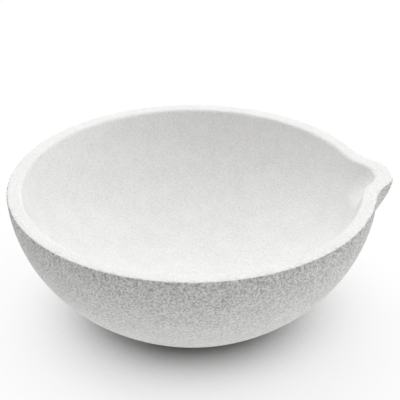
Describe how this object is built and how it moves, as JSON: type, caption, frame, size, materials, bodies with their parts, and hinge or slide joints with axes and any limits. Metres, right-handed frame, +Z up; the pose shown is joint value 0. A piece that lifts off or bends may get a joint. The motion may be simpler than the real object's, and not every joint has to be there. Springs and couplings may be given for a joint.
{
  "type": "foundry crucible",
  "caption": "Shallow round melting dish of fused silica, thick walled, with a small flat foot and a short beak on its flat rim to pour from.",
  "frame": {"origin": "middle of the flat foot, on the surface that the dish stands on", "axes": "+Z up out of the bowl, +X from the bowl's axis towards the beak"},
  "size_m": [0.1049, 0.1, 0.039],
  "materials": {
    "fused_silica": "matt, gritty white, as pressed and fired"
  },
  "bodies": {
    "root": {"crucible": "fused_silica"}
  },
  "joints": []
}
